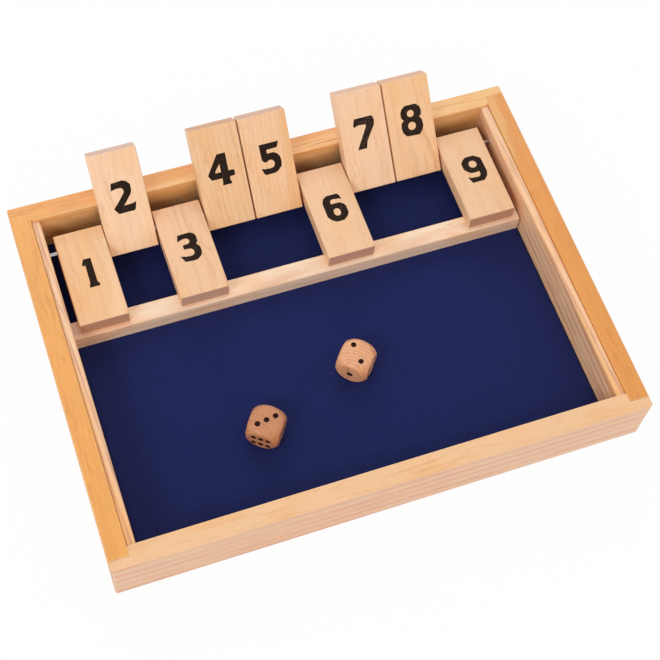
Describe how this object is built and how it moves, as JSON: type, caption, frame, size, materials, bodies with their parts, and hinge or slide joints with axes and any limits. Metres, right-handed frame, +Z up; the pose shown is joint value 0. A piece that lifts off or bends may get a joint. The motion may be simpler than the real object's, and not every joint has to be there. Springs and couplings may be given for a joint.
{
  "type": "shut the box game",
  "caption": "Wooden shut the box game: open tray with a felt floor and a stop rail, a row of number tiles hinged on a steel rod, some raised, and loose wooden dice.",
  "frame": {"origin": "Middle of the footprint on the table: under the centre of the whole game's bounding box as it stands with five tiles raised.", "axes": "+X to the right along the rails and the rod, +Y from the front rail to the row of tiles, +Z up."},
  "size_m": [0.29, 0.2222, 0.0628],
  "materials": {
    "frame_wood": "clear-varnished pine, fine long grain, satin",
    "liner_wood": "planed pale pine, satin",
    "plywood": "bare plywood, fine rotary grain, matt",
    "felt": "dark blue felt, short nap, matt",
    "steel": "bright drawn steel rod",
    "tile_wood": "sanded pale wood, fine straight grain, satin",
    "black_paint": "black paint in a shallow recess, matt",
    "dice_wood": "tumbled wood, light varnish, satin"
  },
  "bodies": {
    "tray": {"front_rail": "frame_wood", "back_rail": "frame_wood", "left_rail": "frame_wood", "right_rail": "frame_wood", "stop_rail": "frame_wood", "left_liner": "liner_wood", "right_liner": "liner_wood", "base_panel": "plywood", "felt": "felt", "rod": "steel"},
    "tile_1_body": {"tile_1": "tile_wood", "numeral_1": "black_paint"},
    "tile_2_body": {"tile_2": "tile_wood", "numeral_2": "black_paint"},
    "tile_3_body": {"tile_3": "tile_wood", "numeral_3": "black_paint"},
    "tile_4_body": {"tile_4": "tile_wood", "numeral_4": "black_paint"},
    "tile_5_body": {"tile_5": "tile_wood", "numeral_5": "black_paint"},
    "tile_6_body": {"tile_6": "tile_wood", "numeral_6": "black_paint"},
    "tile_7_body": {"tile_7": "tile_wood", "numeral_7": "black_paint"},
    "tile_8_body": {"tile_8": "tile_wood", "numeral_8": "black_paint"},
    "tile_9_body": {"tile_9": "tile_wood", "numeral_9": "black_paint"},
    "die_1_body": {"die_1": "dice_wood", "pips_1": "black_paint"},
    "die_2_body": {"die_2": "dice_wood", "pips_2": "black_paint"}
  },
  "joints": [
    {"name": "tile_1_hinge", "type": "hinge", "parent": "tray", "child": "tile_1_body", "pos_m": [0, 0.07543, 0.02285], "axis": [-1, 0, 0], "range_deg": [0, 131.02]},
    {"name": "tile_2_hinge", "type": "hinge", "parent": "tray", "child": "tile_2_body", "pos_m": [0, 0.07543, 0.02285], "axis": [-1, 0, 0], "range_deg": [-131.02, 0]},
    {"name": "tile_3_hinge", "type": "hinge", "parent": "tray", "child": "tile_3_body", "pos_m": [0, 0.07543, 0.02285], "axis": [-1, 0, 0], "range_deg": [0, 131.02]},
    {"name": "tile_4_hinge", "type": "hinge", "parent": "tray", "child": "tile_4_body", "pos_m": [0, 0.07543, 0.02285], "axis": [-1, 0, 0], "range_deg": [-131.02, 0]},
    {"name": "tile_5_hinge", "type": "hinge", "parent": "tray", "child": "tile_5_body", "pos_m": [0, 0.07543, 0.02285], "axis": [-1, 0, 0], "range_deg": [-131.02, 0]},
    {"name": "tile_6_hinge", "type": "hinge", "parent": "tray", "child": "tile_6_body", "pos_m": [0, 0.07543, 0.02285], "axis": [-1, 0, 0], "range_deg": [0, 131.02]},
    {"name": "tile_7_hinge", "type": "hinge", "parent": "tray", "child": "tile_7_body", "pos_m": [0, 0.07543, 0.02285], "axis": [-1, 0, 0], "range_deg": [-131.02, 0]},
    {"name": "tile_8_hinge", "type": "hinge", "parent": "tray", "child": "tile_8_body", "pos_m": [0, 0.07543, 0.02285], "axis": [-1, 0, 0], "range_deg": [-131.02, 0]},
    {"name": "tile_9_hinge", "type": "hinge", "parent": "tray", "child": "tile_9_body", "pos_m": [0, 0.07543, 0.02285], "axis": [-1, 0, 0], "range_deg": [0, 131.02]},
    {"name": "die_1_lift", "type": "slide", "parent": "tray", "child": "die_1_body", "axis": [0, 0, 1], "range_m": [0, 0.08]},
    {"name": "die_2_lift", "type": "slide", "parent": "tray", "child": "die_2_body", "axis": [0, 0, 1], "range_m": [0, 0.08]}
  ]
}
